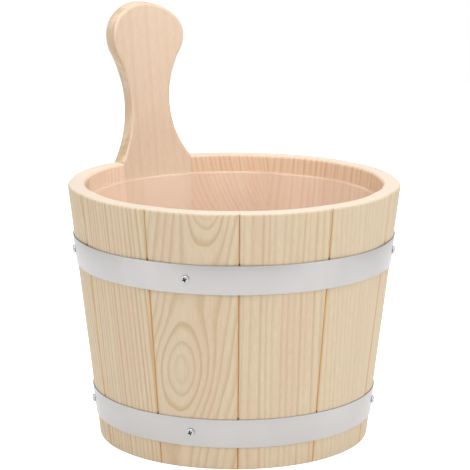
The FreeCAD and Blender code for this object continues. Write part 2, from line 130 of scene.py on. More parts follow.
def linear(part):
    """One part of a screen colour as light."""
    return part / 12.92 if part <= 0.04045 else ((part + 0.055) / 1.055) ** 2.4


class TubSettings(bpy.types.PropertyGroup):
    stave_count: IntProperty(name="Staves", description="Staves round the tub", default=11, min=5)
    body_height: length("Body height", "From the floor to the rim", 186)
    rim_radius: length("Rim radius", "Outside, at the rim", 120)
    foot_radius: length("Foot radius", "Outside, at the floor", 98)
    wall: length("Wall", "Thickness of a stave, measured level", 12.5)
    moulded_radius: length("Moulded radius", "Radius that each stave is moulded to", 102)
    seam_round: length("Seam rounding", "Rounding of a stave's long outer edges", 1.3)
    rim_round: length("Rim rounding", "Rounding of both edges of the rim", 2.1)
    foot_round: length("Foot rounding", "Rounding of the foot's outer edge", 1.2)
    seam_gap: length("Seam gap", "Gap between two staves, half of it on each", 0.04)
    croze_foot: length("Croze foot", "Lower side of the groove for the bottom", 13.85)
    croze_top: length("Croze top", "Upper side of the groove for the bottom", 24.15)
    croze_depth: length("Croze depth", "How deep the groove is cut into the wall", 3.85)


class HandleSettings(bpy.types.PropertyGroup):
    top: length("Top", "Height of the handle's end", 303.5)
    head_width: length("Head width", "Widest part of the head", 62.4)
    head_drop: length("Head drop", "From the top down to the widest part", 24.5)
    shoulder_radius: length("Shoulder", "Radius above the widest part", 20.5)
    cheek_radius: length("Cheek", "Radius below the widest part", 24)
    waist_width: length("Waist", "Narrowest part of the neck", 34.6)
    waist_rise: length("Waist rise", "From the rim up to the waist", 42)
    flare_inset: length("Flare inset", "From the stave's sides in to where the flare ends", 2.2)
    edge_round: length("Edge rounding", "Rounding of the sawn edges", 2.4)


class BottomSettings(bpy.types.PropertyGroup):
    foot: length("Underside", "Height of the boards' underside", 14)
    thickness: length("Thickness", "Thickness of the boards", 10)
    radius: length("Radius", "Radius of the whole bottom", 91)
    middle_width: length("Middle width", "Width of the middle board without its tongues", 64)
    tongue_length: length("Tongue length", "How far a tongue stands out", 4)
    tongue_thickness: length("Tongue thickness", "Thickness of a tongue", 3.4)
    tongue_gap: length("Tongue gap", "Clearance above and below a tongue", 0.1)
    tongue_end_gap: length("Tongue end gap", "Clearance beyond a tongue's edge", 0.5)
    ease: length("Ease", "Chamfer along the boards' long edges", 0.5)


class HoopSettings(bpy.types.PropertyGroup):
    width: length("Strip width", "Width of the strip", 21)
    thickness: length("Strip thickness", "Thickness of the strip", 0.7)
    stand_off: length("Stand-off", "From the staves to the strip", 0.1)
    lower_height: length("Lower hoop", "Height of the lower hoop's lower edge", 16.8)
    upper_height: length("Upper hoop", "Height of the upper hoop's lower edge", 128.8)
    lap: length("Lap", "How far the strip laps over itself", 34)
    lap_gap: length("Lap gap", "Between the lap and the strip under it", 0.02)
    ramp: length("Ramp", "Length over which the lap climbs", 8)
    edge: length("Edge", "Rounding of the strip's edges", 0.28)
    metal: colour("Metal", "Colour of the bare steel", (169, 167, 166))


class ScrewSettings(bpy.types.PropertyGroup):
    head_radius: length("Head radius", "Radius of a screw's head", 2.8)
    head_height: length("Head height", "Height of a screw's head", 1.8)
    head_edge: length("Head edge", "Easing of the head's lower edge", 0.2)
    shank_radius: length("Shank radius", "Radius of the shank", 1.4)
    shank_length: length("Shank length", "From the head to the point", 9.3)
    aside: length("Aside", "From the stave's middle to the screw", 4.2)
    recess_span: length("Recess span", "From end to end of the cross", 4.2)
    recess_width: length("Recess width", "Width of an arm of the cross", 1.25)
    recess_depth: length("Recess depth", "Depth of the cross", 1.2)
    metal: colour("Metal", "Colour of the plated steel", (176, 175, 176))
    # painted shade: the steel down in the cross is given a darker colour
    recess: colour("Recess", "Colour of the steel down in the cross", (80, 78, 76))


class LinerSettings(bpy.types.PropertyGroup):
    base: length("Base", "Height of the liner's underside", 24.3)
    top: length("Top", "Height of the liner's edge", 173.5)
    gap: length("Gap", "From the staves to the liner, measured level", 1.4)
    wall: length("Wall", "Thickness of the plastic", 1.2)
    corner: length("Corner", "Rounding between wall and floor", 4)
    bead: length("Bead", "Height of the thickened edge", 1.5)
    plastic: colour("Plastic", "Tint of the clear plastic", (254, 236, 218))


class WoodSettings(bpy.types.PropertyGroup):
    early: colour("Spring wood", "The pale wood between the grain lines", (216, 198, 169))
    late: colour("Summer wood", "The grain lines", (190, 160, 120))
    warm: colour("Heart wood", "The pinker tone that runs through some boards", (215, 190, 163))
    # painted light: the staves' inner side is made paler and pinker, standing in for the light and bounce
    # inside the tub
    inside: painted_light_gain("Inside", "How much paler the inside is than the outside", (1.2, 1.07, 1.08))
    # painted light: the rim's top is given a pale plain tone that hides most grain, standing in for light
    # from overhead
    rim: colour("Rim", "The pale sanded end grain of the rim", (224, 210, 194))
    rim_light_cover: FloatProperty(
        name="Rim cover",
        description="How much of the grain the rim's tone hides",
        default=0.75,
        min=0,
        max=1,
        subtype="FACTOR",
    )
    # painted light: the wood seen through the liner is made paler still
    lit_behind_liner: painted_light_gain("Lit Behind Liner", "How much paler the wood stays behind the liner", (1.17, 1.15, 1.14))
    handle: colour("Handle", "The pale pink board that the handle is sawn from", (232, 207, 182))
    # the palest board's tone is partly its own and partly painted light
    pale: colour("Pale board", "The palest board, beside the handle", (228, 212, 188))
    # partly painted shade: the handle's sideways-facing sawn edges are made darker, besides their cut grain
    sawn: colour("Sawn edge", "The handle's sawn edges, where the grain ends", (205, 178, 146))
    # the seam tone is partly the joint's own darker colour and partly painted shade in the groove
    seam: colour("Seam", "Wood in the seams", (212, 172, 118))
    # painted shadow: dark spots in the seams where they pass under the hoops' upper edges
    seam_shadow: colour("Seam Shadow", "The dark spots in the seams along the hoops' upper edges", (96, 74, 52))
    bump: length("Grain depth", "How far the grain stands proud", 0.05)


class StageSettings(bpy.types.PropertyGroup):
    floor: colour("Floor", "Colour of the floor", (240, 240, 240))
    fill: amount("Fill", "Light from all round", 0.17)
    top: amount("Top", "Light from the lamp overhead, in watts", 45.0)
    front: amount("Front", "Light from the high lamp in front, in watts", 18.0)
    left: amount("Left", "Light from the lamp on the left, in watts", 5.6)
    back: amount("Back", "Light from the lamp behind, in watts", 2.5)
    right: amount("Right", "Light from the lamp on the right, in watts", 7.6)
    backing: amount("Backing", "How white the floor is made for the camera", 0.75)


GROUPS = {
    "tub": TubSettings,
    "handle": HandleSettings,
    "bottom": BottomSettings,
    "hoop": HoopSettings,
    "screw": ScrewSettings,
    "liner": LinerSettings,
    "wood": WoodSettings,
    "stage": StageSettings,
}


def settings(kind):
    """The scene's settings of one kind."""
    return getattr(bpy.context.scene, f"piggin_{kind}")


# the tub's shape


def tilt():
    """The angle by which the wall leans outwards."""
    tub = settings("tub")
    return math.atan((tub.rim_radius - tub.foot_radius) / tub.body_height)


def half_pitch():
    """Half the turn that one stave takes up."""
    return math.pi / settings("tub").stave_count


def outer_at(height):
    """The tub's outer radius at a height."""
    tub = settings("tub")
    return tub.foot_radius + math.tan(tilt()) * height


def on_board(x, height, depth):
    """A point of the stave at +Y: aside from its middle, at a height and a depth under its outside."""
    tub, lean = settings("tub"), tilt()
    radius = tub.moulded_radius
    out = math.sqrt((radius - depth) ** 2 - x**2) - radius
    return Vector((x, tub.foot_radius + (out + height * math.sin(lean)) / math.cos(lean), height))


def seam_at(height, depth):
    """How far aside the seam is at a height and a depth."""
    tub, lean, turn = settings("tub"), tilt(), half_pitch()
    rest = tub.moulded_radius - tub.foot_radius * math.cos(lean) - height * math.sin(lean)
    ahead = math.cos(turn) * math.cos(lean)
    spread = ahead**2 + math.sin(turn) ** 2
    root = math.sqrt((ahead * rest) ** 2 - spread * (rest**2 - (tub.moulded_radius - depth) ** 2))
    return (root - ahead * rest) / spread * math.sin(turn)


def rounding(radius, depth):
    """How far a rounded edge stands back at a depth under the face beside it."""
    return radius - math.sqrt(radius**2 - (radius - depth) ** 2) if depth < radius else 0


def steps(low, high, count):
    """Evenly spaced numbers, both ends included."""
    return [low + (high - low) * step / count for step in range(count + 1)]


def slant_out():
    """The way out of the wall at +Y, square to its slope."""
    return Vector((0, math.cos(tilt()), -math.sin(tilt())))


def slant_up():
    """The way up along the wall at +Y."""
    return Vector((0, math.sin(tilt()), math.cos(tilt())))


def arc(centre, radius, start, end, count):
    """Points on an arc with the way inwards from each, as (x, z, inwards x, inwards z)."""
    return [
        (centre[0] + radius * math.cos(a), centre[1] + radius * math.sin(a), -math.cos(a), -math.sin(a))
        for a in steps(start, end, count)
    ]


def saw_line():
    """The handle's right side from the seam up to the crown, with the way into the wood at each point."""
    tub, part = settings("tub"), settings("handle")
    widest, waist = part.top - part.head_drop, tub.body_height + part.waist_rise
    half_head, half_waist = part.head_width / 2, part.waist_width / 2
    inset, drop = half_head - part.shoulder_radius, part.head_drop
    crown = (inset**2 + drop**2 - part.shoulder_radius**2) / (2 * (drop - part.shoulder_radius))
    crown_end = math.atan2(crown - drop, inset)
    across, rise = half_waist - half_head + part.cheek_radius, widest - waist
    neck = (across**2 + rise**2 - part.cheek_radius**2) / (2 * (part.cheek_radius - across))
    cheek_end = math.atan2(-rise, neck + across)
    spread = tub.rim_radius * math.sin(half_pitch()) - part.flare_inset - half_waist
    flare_radius = (spread**2 + part.waist_rise**2) / (2 * spread)
    flare_turn = math.asin(part.waist_rise / flare_radius)
    flare_steps, neck_steps, cheek_steps, shoulder_steps, crown_steps = 30, 24, 12, 16, 14
    flare_centre = (half_waist + flare_radius, waist)
    flare = arc(flare_centre, flare_radius, math.pi + flare_turn, math.pi, flare_steps)
    hollow = arc((half_waist + neck, waist), neck, math.pi, math.pi + cheek_end, neck_steps)
    line = [(x, z, -in_x, -in_z) for x, z, in_x, in_z in flare + hollow[1:]]
    line += arc((half_head - part.cheek_radius, widest), part.cheek_radius, cheek_end, 0, cheek_steps)[1:]
    shoulder = (half_head - part.shoulder_radius, widest)
    line += arc(shoulder, part.shoulder_radius, 0, crown_end, shoulder_steps)[1:]
    line += arc((0, part.top - crown), crown, crown_end, math.pi / 2, crown_steps)[1:]
    return line


# meshes


def finished(name, bm, sharp=math.radians(35)):
    """An object of a bmesh, closed, smooth and with its normals outwards."""
    hair = 0.002 * MM
    bmesh.ops.remove_doubles(bm, verts=bm.verts, dist=hair)
    bmesh.ops.dissolve_degenerate(bm, edges=bm.edges, dist=hair)
    bmesh.ops.recalc_face_normals(bm, faces=bm.faces)
    mesh = bpy.data.meshes.new(name)
    bm.to_mesh(mesh)
    bm.free()
    mesh.shade_smooth()
    mesh.set_sharp_from_angle(angle=sharp)
    piece = bpy.data.objects.new(name, mesh)
    bpy.context.collection.objects.link(piece)
    return piece


def only(kind, geom):
    """The items of one kind, such as faces, among what an operator made."""
    return [item for item in geom if isinstance(item, kind)]


def pushed_out(bm, faces, way, keep=False):
    """Extrude faces one way, without leaving them inside, and return the new ones."""
    made = bmesh.ops.extrude_face_region(bm, geom=faces)["geom"]
    bmesh.ops.translate(bm, verts=only(bmesh.types.BMVert, made), vec=way)
    if not keep:
        bmesh.ops.delete(bm, geom=faces, context="FACES")
    return only(bmesh.types.BMFace, made)


def layered(layers):
    """A slab of layers of points, all grids of one size.

    A flat grid is extruded layer by layer, and then its points are moved to their places.
    """
    rows, columns = len(layers[0]), len(layers[0][0])
    bm = bmesh.new()
    bmesh.ops.create_grid(bm, x_segments=columns - 1, y_segments=rows - 1, size=0.5)
    bmesh.ops.translate(bm, verts=bm.verts, vec=(0.5, 0.5, 0))
    bmesh.ops.scale(bm, verts=bm.verts, vec=(columns - 1, rows - 1, 1))
    top = bm.faces[:]
    for number in range(1, len(layers)):
        top = pushed_out(bm, top, (0, 0, 1), keep=number == 1)
    for vert in bm.verts:
        column, row, layer = (round(place) for place in vert.co)
        vert.co = layers[layer][row][column]
    return bm


def spun(bm, section, count, start=0.0, turn=2 * math.pi, closed=True):
    """Spin a section of (radius, height) pairs about the upright axis and close the ends of a part turn."""
    whole = turn > 2 * math.pi - 1e-6
    verts = [bm.verts.new((-r * math.sin(start), r * math.cos(start), z)) for r, z in section]
    edges = [bm.edges.new(pair) for pair in zip(verts, verts[1:] + verts[:closed])]
    spin = bmesh.ops.spin(bm, geom=verts + edges, axis=(0, 0, 1), angle=turn, steps=count, use_merge=whole)
    if not whole:
        bmesh.ops.holes_fill(bm, edges=edges + only(bmesh.types.BMEdge, spin["geom_last"]))


def stave_mesh(handle):
    """A stave at +Y as a bmesh. Its edges are rounded layer by layer through its thickness."""
    tub = settings("tub")
    wall = tub.wall * math.cos(tilt())
    edge = settings("handle").edge_round if handle else tub.rim_round
    outer = [edge * (1 - math.cos(a)) for a in steps(0, math.pi / 2, EDGE_STEPS)]
    depths = outer + [wall / 2] + [wall - depth for depth in reversed(outer)]
    rows = [0.0, tub.foot_round / 2, tub.foot_round]
    # each edge of the croze has two rows, and the inner one of each lies on the groove's bottom
    groove_rows = (len(rows) + 1, len(rows) + 2)
    rows += [tub.croze_foot, tub.croze_foot, tub.croze_top, tub.croze_top]
    rows += steps(tub.croze_top, tub.body_height - tub.rim_round, RISE_STEPS)[1:]
    line = saw_line() if handle else []
    shares = [math.sin(math.pi / 2 * share) for share in steps(-1, 1, STAVE_STEPS)]
    layers = []
    for depth in depths:
        layer = []
        under = min(depth, wall - depth)
        back = rounding(edge, under)
        foot, rim = rounding(tub.foot_round, depth), tub.body_height - rounding(tub.rim_round, under)
        seam_back = rounding(tub.seam_round, depth) + tub.seam_gap / 2
        for index, height in enumerate([*rows, rim]):
            height = max(height, foot)
            level = min(depth, wall - tub.croze_depth) if index in groove_rows else depth
            half = seam_at(height, level) - seam_back
            layer.append([on_board(share * half, height, level) for share in shares])
        for x, z, in_x, in_z in line:
            height = max(z + in_z * back, rim)
            half = max(0, min(x + in_x * back, seam_at(height, depth) - seam_back))
            layer.append([on_board(share * half, height, depth) for share in shares])
        layers.append(layer)
    return layered(layers)


def joint_line(tongued):
    """The joint between two boards from below upwards, as (height, distance from the middle)."""
    part = settings("bottom")
    half, middle, top = part.middle_width / 2, part.foot + part.thickness / 2, part.foot + part.thickness
    reach = part.tongue_length + (0 if tongued else part.tongue_end_gap)
    tall = part.tongue_thickness / 2 + (0 if tongued else part.tongue_gap)
    back = -part.ease if tongued else part.ease
    return [
        (part.foot, half + back),
        (part.foot + part.ease, half),
        (middle - tall, half),
        (middle - tall, half + reach),
        (middle + tall, half + reach),
        (middle + tall, half),
        (top - part.ease, half),
        (top, half + back),
    ]


def board_mesh(side):
    """A bottom board, the middle one for side 0, as layers from its underside up."""
    radius = settings("bottom").radius
    layers = []
    for height, near in joint_line(tongued=not side):
        end = math.sqrt(radius**2 - near**2) if side else radius
        layer = []
        for turn in steps(-math.pi / 2, math.pi / 2, BOARD_STEPS):
            y = end * math.sin(turn)
            far = math.sqrt(max(0, radius**2 - y**2))
            low, high = (near, max(near, far)) if side else (-min(near, far), min(near, far))
            layer.append([Vector(((side or 1) * x, y, height)) for x in steps(low, high, BOARD_COLUMNS)])
        layers.append(layer)
    return layered(layers)


def turned(bm, angle):
    """Turn a bmesh about the upright axis."""
    bmesh.ops.rotate(bm, verts=bm.verts, cent=(0, 0, 0), matrix=Matrix.Rotation(angle, 3, "Z"))
    return bm


def rounded_strip(height, layer):
    """A hoop's section in one layer, (radius, height) pairs with its four edges rounded."""
    hoop, lean = settings("hoop"), tilt()
    near = hoop.stand_off + layer * (hoop.thickness + hoop.lap_gap)
    far = near + hoop.thickness
    spots = []
    corners = [(0, near), (hoop.width, near), (hoop.width, far), (0, far)]
    for number, (along, out) in enumerate(corners):
        centre_along = along + (hoop.edge if along == 0 else -hoop.edge)
        centre_out = out + (hoop.edge if out == near else -hoop.edge)
        start = math.radians(180 + 90 * number)
        for angle in (start, start + math.radians(45), start + math.radians(90)):
            spot_along = centre_along + hoop.edge * math.cos(angle)
            spot_out = centre_out + hoop.edge * math.sin(angle)
            radius = outer_at(height) + spot_along * math.sin(lean) + spot_out * math.cos(lean)
            spots.append((radius, height + spot_along * math.cos(lean) - spot_out * math.sin(lean)))
    return spots


def hoop_mesh(height):
    """A hoop: the ring, and the strip's end that laps over it at the handle stave."""
    hoop = settings("hoop")
    bm = bmesh.new()
    spun(bm, rounded_strip(height, 0), HOOP_STEPS)
    half = hoop.lap / 2 / outer_at(height)
    before = set(bm.verts)
    spun(bm, rounded_strip(height, 1), LAP_STEPS, -half, 2 * half)
    lap = [vert for vert in bm.verts if vert not in before]
    # the lap's end thins out where it climbs over the strip's start
    ramp = hoop.ramp / outer_at(height)
    for vert in lap:
        angle = math.atan2(-vert.co.x, vert.co.y)
        share = min(1, max(0, (half + angle) / ramp))
        out = math.hypot(vert.co.x, vert.co.y)
        near = outer_at(vert.co.z) + (hoop.stand_off + hoop.thickness + hoop.lap_gap) / math.cos(tilt())
        vert.co.xy *= (near + (out - near) * max(share, LAP_END_SHARE)) / out
    return bm


def dome_height(rise):
    """The height of a screw head's dome where it has risen by a share of its own height."""
    part = settings("screw")
    return HEAD_RIM_SHARE * part.head_height + (1 - HEAD_RIM_SHARE) * part.head_height * rise


def screw_mesh():
    """An upright screw with a plain domed head, the head's underside at height 0."""
    part = settings("screw")
    bm = bmesh.new()
    turns = steps(0, math.pi / 2, DOME_STEPS)
    dome = [(part.head_radius * math.cos(a), dome_height(math.sin(a))) for a in turns]
    point = part.shank_length - 2 * part.shank_radius
    section = [(0, -part.shank_length), (part.shank_radius, -point), (part.shank_radius, 0)]
    section += [(part.head_radius - part.head_edge, 0), (part.head_radius, part.head_edge)]
    section += [*dome[:-1], (0, part.head_height)]
    spun(bm, section, SCREW_STEPS, closed=False)
    bmesh.ops.remove_doubles(bm, verts=bm.verts, dist=0.001 * MM)
    bmesh.ops.recalc_face_normals(bm, faces=bm.faces)
    return bm


def cross_cutter():
    """What is pressed out of a screw's head: a cross that narrows downwards."""
    part = settings("screw")
    overrun = 1 * MM
    bm = bmesh.new()
    bmesh.ops.create_cube(bm, size=1)
    bm.normal_update()
    for face in [face for face in bm.faces if abs(face.normal.z) < 0.5]:
        pushed_out(bm, [face], face.normal.copy())
    for vert in bm.verts:
        low = vert.co.z < 0
        height = part.head_height + (-part.recess_depth if low else overrun)
        share = CROSS_FOOT_SHARE if low else CROSS_TOP_SHARE
        near = part.recess_width / 2 * (1 - ARM_TAPER_SHARE + ARM_TAPER_SHARE * share)
        far = part.recess_span / 2 * share
        x, y = (math.copysign(far if abs(place) > 1 else near, place) for place in vert.co.xy)
        vert.co = (x, y, height)
    bmesh.ops.recalc_face_normals(bm, faces=bm.faces)
    return bm


def mark_recess_shade(mesh):
    """Give the faces down in the cross the mesh's second material, a darker steel that is painted shade."""
    least_depth, reach_share = 0.15 * MM, 0.8
    for face in mesh.polygons:
        out = min(1, math.hypot(face.center.x, face.center.y) / settings("screw").head_radius)
        deep = 0 < face.center.z < dome_height(math.sqrt(1 - out**2)) - least_depth
        face.material_index = int(deep and out < reach_share)


def plain_object(name, bm):
    """An object of a bmesh just as it is, in the scene."""
    mesh = bpy.data.meshes.new(name)
    bm.to_mesh(mesh)
    bm.free()
    piece = bpy.data.objects.new(name, mesh)
    bpy.context.collection.objects.link(piece)
    return piece


def pressed_screw():
    """The screw's mesh with the cross pressed into its head."""
    blank, cutter = plain_object("screw_blank", screw_mesh()), plain_object("cross_cutter", cross_cutter())
    cut = blank.modifiers.new("cross", "BOOLEAN")
    cut.operation = "DIFFERENCE"
    cut.solver = "EXACT"
    cut.object = cutter
    result = bpy.data.meshes.new_from_object(blank.evaluated_get(bpy.context.evaluated_depsgraph_get()))
    for piece in (blank, cutter):
        bpy.data.objects.remove(piece)
    mark_recess_shade(result)
    return result


def liner_section():
    """The liner's section as (radius, height) pairs, out along its underside, up and back down inside."""
    part = settings("liner")

    def outside(height):
        return outer_at(height) - settings("tub").wall - part.gap

    def corner(face, floor, radius, start, end):
        turns = steps(start, end, CORNER_STEPS)
        return [(face - radius * (1 - math.cos(a)), floor + radius * (1 + math.sin(a))) for a in turns]

    def bead(face, level, corners):
        return [(face + out * MM, level + up * MM) for out, up in corners]

    bead_foot = part.top - part.bead
    inner_face, inner_floor = outside(part.base) - part.wall, part.base + part.wall
    return [
        (0.0, part.base),
        *corner(outside(part.base), part.base, part.corner, -math.pi / 2, 0),
        *bead(outside(bead_foot), bead_foot, BEAD_FOOT),
        *bead(outside(part.top), part.top, BEAD_TOP),
        *bead(outside(part.top) - part.wall, part.top, BEAD_INSIDE),
        *corner(inner_face, inner_floor, part.corner - part.wall, 0, -math.pi / 2),
        (0.0, inner_floor),
    ]


def mark_sawn_edge_and_shade(mesh):
    """Give the handle's sawn edges, which face sideways, the mesh's second material, whose darker tone is
    partly their cut grain and partly painted shade.
    """
    for face in mesh.polygons:
        above_rim = face.center.z > settings("tub").body_height
        face.material_index = int(above_rim and face.normal.dot(slant_out()) ** 2 < 0.5)


# materials


class Tree:
    """A node tree with short ways to add nodes and to join them."""

    def __init__(self, tree):
        self.tree = tree

    def add(self, kind, inputs=None, **features):
        """A node, its inputs given as values or as sockets to join."""
        node = self.tree.nodes.new(kind)
        for name, setting in features.items():
            setattr(node, name, setting)
        for name, given in (inputs or {}).items():
            self.join(given, node.inputs[name])
        return node

    def join(self, given, socket):
        """Join a socket to an input, or set the input to a value."""
        if isinstance(given, bpy.types.NodeSocket):
            self.tree.links.new(given, socket)
        else:
            socket.default_value = given

    def math(self, operation, *values, clamp=False):
        """A sum, product and so on of numbers and sockets."""
        node = self.add("ShaderNodeMath", dict(enumerate(values)), operation=operation, use_clamp=clamp)
        return node.outputs[0]

    def vector(self, operation, *values):
        """The same of vectors."""
        return self.add("ShaderNodeVectorMath", dict(enumerate(values)), operation=operation).outputs[0]

    def length(self, vector):
        """A vector's length."""
        return self.add("ShaderNodeVectorMath", {0: vector}, operation="LENGTH").outputs["Value"]

    def scaled(self, vector, share):
        """A vector made longer or shorter by a number."""
        return self.add("ShaderNodeVectorMath", {0: vector, "Scale": share}, operation="SCALE").outputs[0]

    def smooth(self, value, low, high, to_low=0.0, to_high=1.0):
        """A smooth step from low to high."""
        given = {"Value": value, "From Min": low, "From Max": high, "To Min": to_low, "To Max": to_high}
        return self.add("ShaderNodeMapRange", given, interpolation_type="SMOOTHSTEP").outputs[0]

    def noise(self, vector, scale, detail=2.0, roughness=0.5):
        """A noise's value, from 0 to 1."""
        given = {"Vector": vector, "Scale": scale, "Detail": detail, "Roughness": roughness}
        return self.add("ShaderNodeTexNoise", given).outputs["Fac"]

    def blend(self, share, low, high, kind="MIX"):
        """A mix of two colours."""
        # a mix node has its colours at inputs 6 and 7 and its colour output at 2
        given = {0: share, 6: low, 7: high}
        return self.add("ShaderNodeMix", given, data_type="RGBA", blend_type=kind).outputs[2]

    def dimmed(self, shade, level):
        """A colour made paler or darker by a number."""
        grey = self.add("ShaderNodeCombineColor", dict.fromkeys(range(3), level)).outputs[0]
        return self.blend(1.0, shade, grey, "MULTIPLY")


def new_group(name, inputs, outputs):
    """A shader node group with sockets, given by kind, and its Tree, its inputs and its output node."""
    group = bpy.data.node_groups.new(name, "ShaderNodeTree")
    for in_out, sockets in (("INPUT", inputs), ("OUTPUT", outputs)):
        for kind, labels in sockets.items():
            for label in labels:
                group.interface.new_socket(label, in_out=in_out, socket_type=f"NodeSocket{kind}")
    tree = Tree(group)
    return group, tree, tree.add("NodeGroupInput").outputs, tree.add("NodeGroupOutput")


def bulge(tree, spot, centre, spread):
    """A soft bump of 1 round a centre, as wide as spread in each direction."""
    away = tree.vector("DIVIDE", tree.vector("SUBTRACT", spot, centre), spread)
    square = tree.add("ShaderNodeVectorMath", {0: away, 1: away}, operation="DOT_PRODUCT").outputs["Value"]
    return tree.math("EXPONENT", tree.math("MULTIPLY", square, -1.0))


def pine_group():
    """Growth rings round a leaning pith, in millimetres, as the board's surfaces cut them."""
    existing = bpy.data.node_groups.get("Pine")
    if existing:
        return existing
    inputs = {
        "Vector": ("Place", "Pith", "Lean", "Knot", "Knot Spread", "Loop", "Loop Spread"),
        "Float": ("Spacing", "Wobble", "Contrast", "Warmth", "Knot Size", "Loop Size"),
        "Color": ("Early", "Late", "Warm"),
    }
    outputs = {"Color": ("Color",), "Float": ("Roughness", "Height")}
    group, tree, given, out = new_group("Pine", inputs, outputs)
    place = given["Place"]
    # slow waves along the board bend the rings
    long_wave = tree.vector("MULTIPLY", place, (1.0, 1.0, 0.16))
    waves = {"Vector": long_wave, "Scale": 0.03, "Detail": 2.0, "Roughness": 0.45}
    warp = tree.add("ShaderNodeTexNoise", waves).outputs["Color"]
    shift = tree.scaled(tree.vector("SUBTRACT", warp, (0.5, 0.5, 0.5)), given["Wobble"])
    # how far a spot is from the leaning pith says in which year it grew
    rise = tree.add("ShaderNodeSeparateXYZ", {0: place}).outputs[2]
    away = tree.vector("SUBTRACT", place, given["Pith"])
    away = tree.vector("SUBTRACT", away, tree.scaled(given["Lean"], rise))
    away = tree.vector("ADD", away, shift)
    distance = tree.length(tree.vector("MULTIPLY", away, (1.0, 1.0, 0.0)))
    for name in ("Knot", "Loop"):
        bump = bulge(tree, place, given[name], given[f"{name} Spread"])
        distance = tree.math("MULTIPLY_ADD", bump, given[f"{name} Size"], distance)
    years = tree.math("DIVIDE", distance, given["Spacing"])
    # there are wide and narrow years
    slowly = {"W": tree.math("MULTIPLY", years, 0.31), "Scale": 1.0}
    weather = tree.add("ShaderNodeTexNoise", slowly, noise_dimensions="1D").outputs[0]
    years = tree.math("MULTIPLY_ADD", weather, 1.4, years)
    # a year's line comes slowly, ends quickly and is fainter in some years
    year = tree.math("FRACT", years)
    line = tree.math("MULTIPLY", tree.smooth(year, 0.34, 0.86), tree.smooth(year, 0.86, 1.0, 1.0, 0.0))
    this_year = {"W": tree.math("FLOOR", years)}
    lot = tree.add("ShaderNodeTexWhiteNoise", this_year, noise_dimensions="1D").outputs["Value"]
    line = tree.math("MULTIPLY", line, tree.math("MULTIPLY_ADD", lot, 0.65, 0.35))
    # fine fibres run along the board, and patches of it are warmer
    fibre = tree.noise(tree.vector("MULTIPLY", place, (1.0, 1.0, 0.018)), 1.1, 4.0, 0.7)
    patches = tree.noise(tree.vector("MULTIPLY", place, (1.0, 1.0, 0.06)), 0.09, 2.0)
    warm = tree.math("MULTIPLY", tree.smooth(patches, 0.35, 0.68), given["Warmth"], clamp=True)
    base = tree.blend(warm, given["Early"], given["Warm"])
    share = tree.math("MULTIPLY", line, given["Contrast"], clamp=True)
    shade = tree.blend(share, base, given["Late"])
    shade = tree.dimmed(shade, tree.math("MULTIPLY_ADD", tree.smooth(fibre, 0.25, 0.75), 0.1, 0.95))
    rough = tree.math("MULTIPLY_ADD", fibre, 0.16, 0.5)
    height = tree.math("ADD", tree.math("MULTIPLY", line, 0.6), tree.math("MULTIPLY", fibre, 0.5))
    for name, socket in (("Color", shade), ("Roughness", rough), ("Height", height)):
        tree.join(socket, out.inputs[name])
    return group


def seam_group():
    """Masks of the stave at +Y, from 0 to 1.

    In their order, they are 1 in the seam beside it, whose tone is partly the joint's own and partly
    painted shade;
    on its inner side, where light is painted; there behind the liner, where more light is painted; on its
    sawn top, where light from overhead is painted; and in the seam along a hoop's upper edge, where shadow
    is painted.
    """
    existing = bpy.data.node_groups.get("Seam")
    if existing:
        return existing
    tub = settings("tub")
    masks = ("Share", "Inside", "Lit Behind Liner", "Rim", "Seam Shadow")
    inputs = {"Vector": ("Place",), "Float": ("Width",)}
    group, tree, given, out = new_group("Seam", inputs, {"Float": masks})
    x, y, height = tree.add("ShaderNodeSeparateXYZ", {0: given["Place"]}).outputs
    # how far a spot is from the seam and, measured level, from the outside, in millimetres
    turn = tree.math("ABSOLUTE", tree.math("ARCTAN2", x, y))
    radius = tree.length(tree.vector("MULTIPLY", given["Place"], (1.0, 1.0, 0.0)))
    aside = tree.math("MULTIPLY", tree.math("SUBTRACT", half_pitch(), turn), radius)
    outside = tree.math("MULTIPLY_ADD", height, math.tan(tilt()), tub.foot_radius / MM)
    depth = tree.math("SUBTRACT", outside, radius)
    # the seams are fainter inside and above the upper hoop
    shallow = tree.smooth(depth, 2.5, 4.5, 1.0, 0.3)
    hoop = settings("hoop")
    hoop_tops = [(foot + hoop.width) / MM for foot in (hoop.lower_height, hoop.upper_height)]
    top = tree.smooth(height, hoop_tops[1], hoop_tops[1] + 6.0, 1.0, 0.6)
    inside = tree.smooth(depth, 6.0, 10.0)
    liner_top, rim_height = settings("liner").top / MM, tub.body_height / MM
    covered = tree.smooth(height, liner_top - 0.8, liner_top, 1.0, 0.0)
    near = tree.smooth(aside, 0.0, given["Width"], 1.0, 0.0)
    # painted shadow: dark spots in the seams along the hoops' upper edges, where the groove runs under the
    # strip
    seam_shadow = 0.0
    for hoop_top in hoop_tops:
        away = tree.math("ABSOLUTE", tree.math("SUBTRACT", height, hoop_top))
        seam_shadow = tree.math("ADD", seam_shadow, tree.smooth(away, 0.5, 1.7, 1.0, 0.0))
    narrow = tree.smooth(aside, 0.2, 1.0, 1.0, 0.0)
    found = {
        "Share": tree.math("MULTIPLY", tree.math("MULTIPLY", near, shallow), top),
        "Inside": inside,
        "Lit Behind Liner": tree.math("MULTIPLY", inside, covered),
        "Rim": tree.smooth(height, rim_height - 1.2, rim_height - 0.1),
        "Seam Shadow": tree.math("MULTIPLY", tree.math("MULTIPLY", seam_shadow, narrow), shallow),
    }
    for mask, value in found.items():
        tree.join(value, out.inputs[mask])
    return group


def paint(colour_of):
    """A colour setting with an alpha of 1."""
    return (*colour_of, 1.0)


def new_material(name):
    """A new material with its Tree and the inputs of its shader."""
    material = bpy.data.materials.new(name)
    material.use_nodes = True
    return material, Tree(material.node_tree), material.node_tree.nodes["Principled BSDF"].inputs


